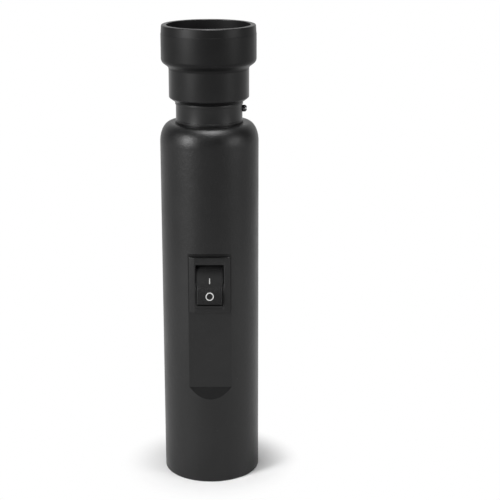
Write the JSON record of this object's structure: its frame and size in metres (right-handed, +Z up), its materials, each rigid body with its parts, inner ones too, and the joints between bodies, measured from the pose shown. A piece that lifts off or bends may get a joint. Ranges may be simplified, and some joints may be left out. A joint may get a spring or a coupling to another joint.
{
  "type": "egg candling lamp",
  "caption": "Hand-held egg candling lamp: black tube handle with a rocker switch on a sunk front flat, short neck with a light unit, and a soft stepped cup that an egg is held against.",
  "frame": {"origin": "middle of the foot, on the plane that the lamp stands on and on the axis of the handle", "axes": "+Z up the handle to the cup, -Y out of the switch, +X towards the neck screw"},
  "size_m": [0.036, 0.0381, 0.1706],
  "materials": {
    "handle_plastic": "finely textured matte",
    "neck_plastic": "satin",
    "cup_rubber": "soft satin",
    "seal_rubber": "matte",
    "switch_plastic": "semi-gloss",
    "mark_print": "printed",
    "steel": "plated",
    "contact_brass": "plain",
    "sink_aluminium": "turned",
    "board_metal": "white solder mask",
    "reflector_bright": "bright metallised",
    "lens_clear": "clear",
    "led_silicone": "clear over phosphor",
    "led_ceramic": "ceramic white",
    "wire_red": "insulation",
    "wire_black": "insulation",
    "resistor_coat": "lacquer",
    "sleeve_black": "shrunk sleeve"
  },
  "bodies": {
    "lamp": {"body_shell": "handle_plastic", "neck_tube": "neck_plastic", "neck_screw": "steel", "lens": "lens_clear", "lens_seal": "seal_rubber", "reflector": "reflector_bright", "led_dome": "led_silicone", "led_package": "led_ceramic", "led_board": "board_metal", "board_screws": "steel", "heat_sink": "sink_aluminium", "switch_housing": "switch_plastic", "common_terminal": "contact_brass", "load_terminal": "contact_brass", "base_cap": "handle_plastic", "base_screws": "steel", "jack_socket": "switch_plastic", "jack_washer": "steel", "jack_nut": "steel", "jack_pin": "steel", "jack_contact": "contact_brass", "supply_wire": "wire_red", "switched_wires": "wire_red", "return_wire": "wire_black", "resistor": "resistor_coat", "resistor_sleeve": "sleeve_black"},
    "cup": {"egg_cup": "cup_rubber"},
    "paddle": {"rocker": "switch_plastic", "rocker_marks": "mark_print", "switch_plunger": "contact_brass", "plunger_spring": "steel"},
    "contact": {"contact_seesaw": "contact_brass"}
  },
  "joints": [
    {"name": "cup_pull", "type": "slide", "parent": "lamp", "child": "cup", "axis": [0, 0, 1], "range_m": [0, 0.02]},
    {"name": "rocker_flip", "type": "hinge", "parent": "lamp", "child": "paddle", "pos_m": [0, -0.01617, 0.078], "axis": [1, 0, 0], "range_deg": [0, 24]},
    {"name": "contact_rock", "type": "hinge", "parent": "lamp", "child": "contact", "pos_m": [0, -0.00817, 0.078], "axis": [1, 0, 0], "range_deg": [-12, 0]}
  ],
  "couplings": [
    {"joint": "contact_rock", "follows": "rocker_flip", "ratio": -0.5}
  ]
}
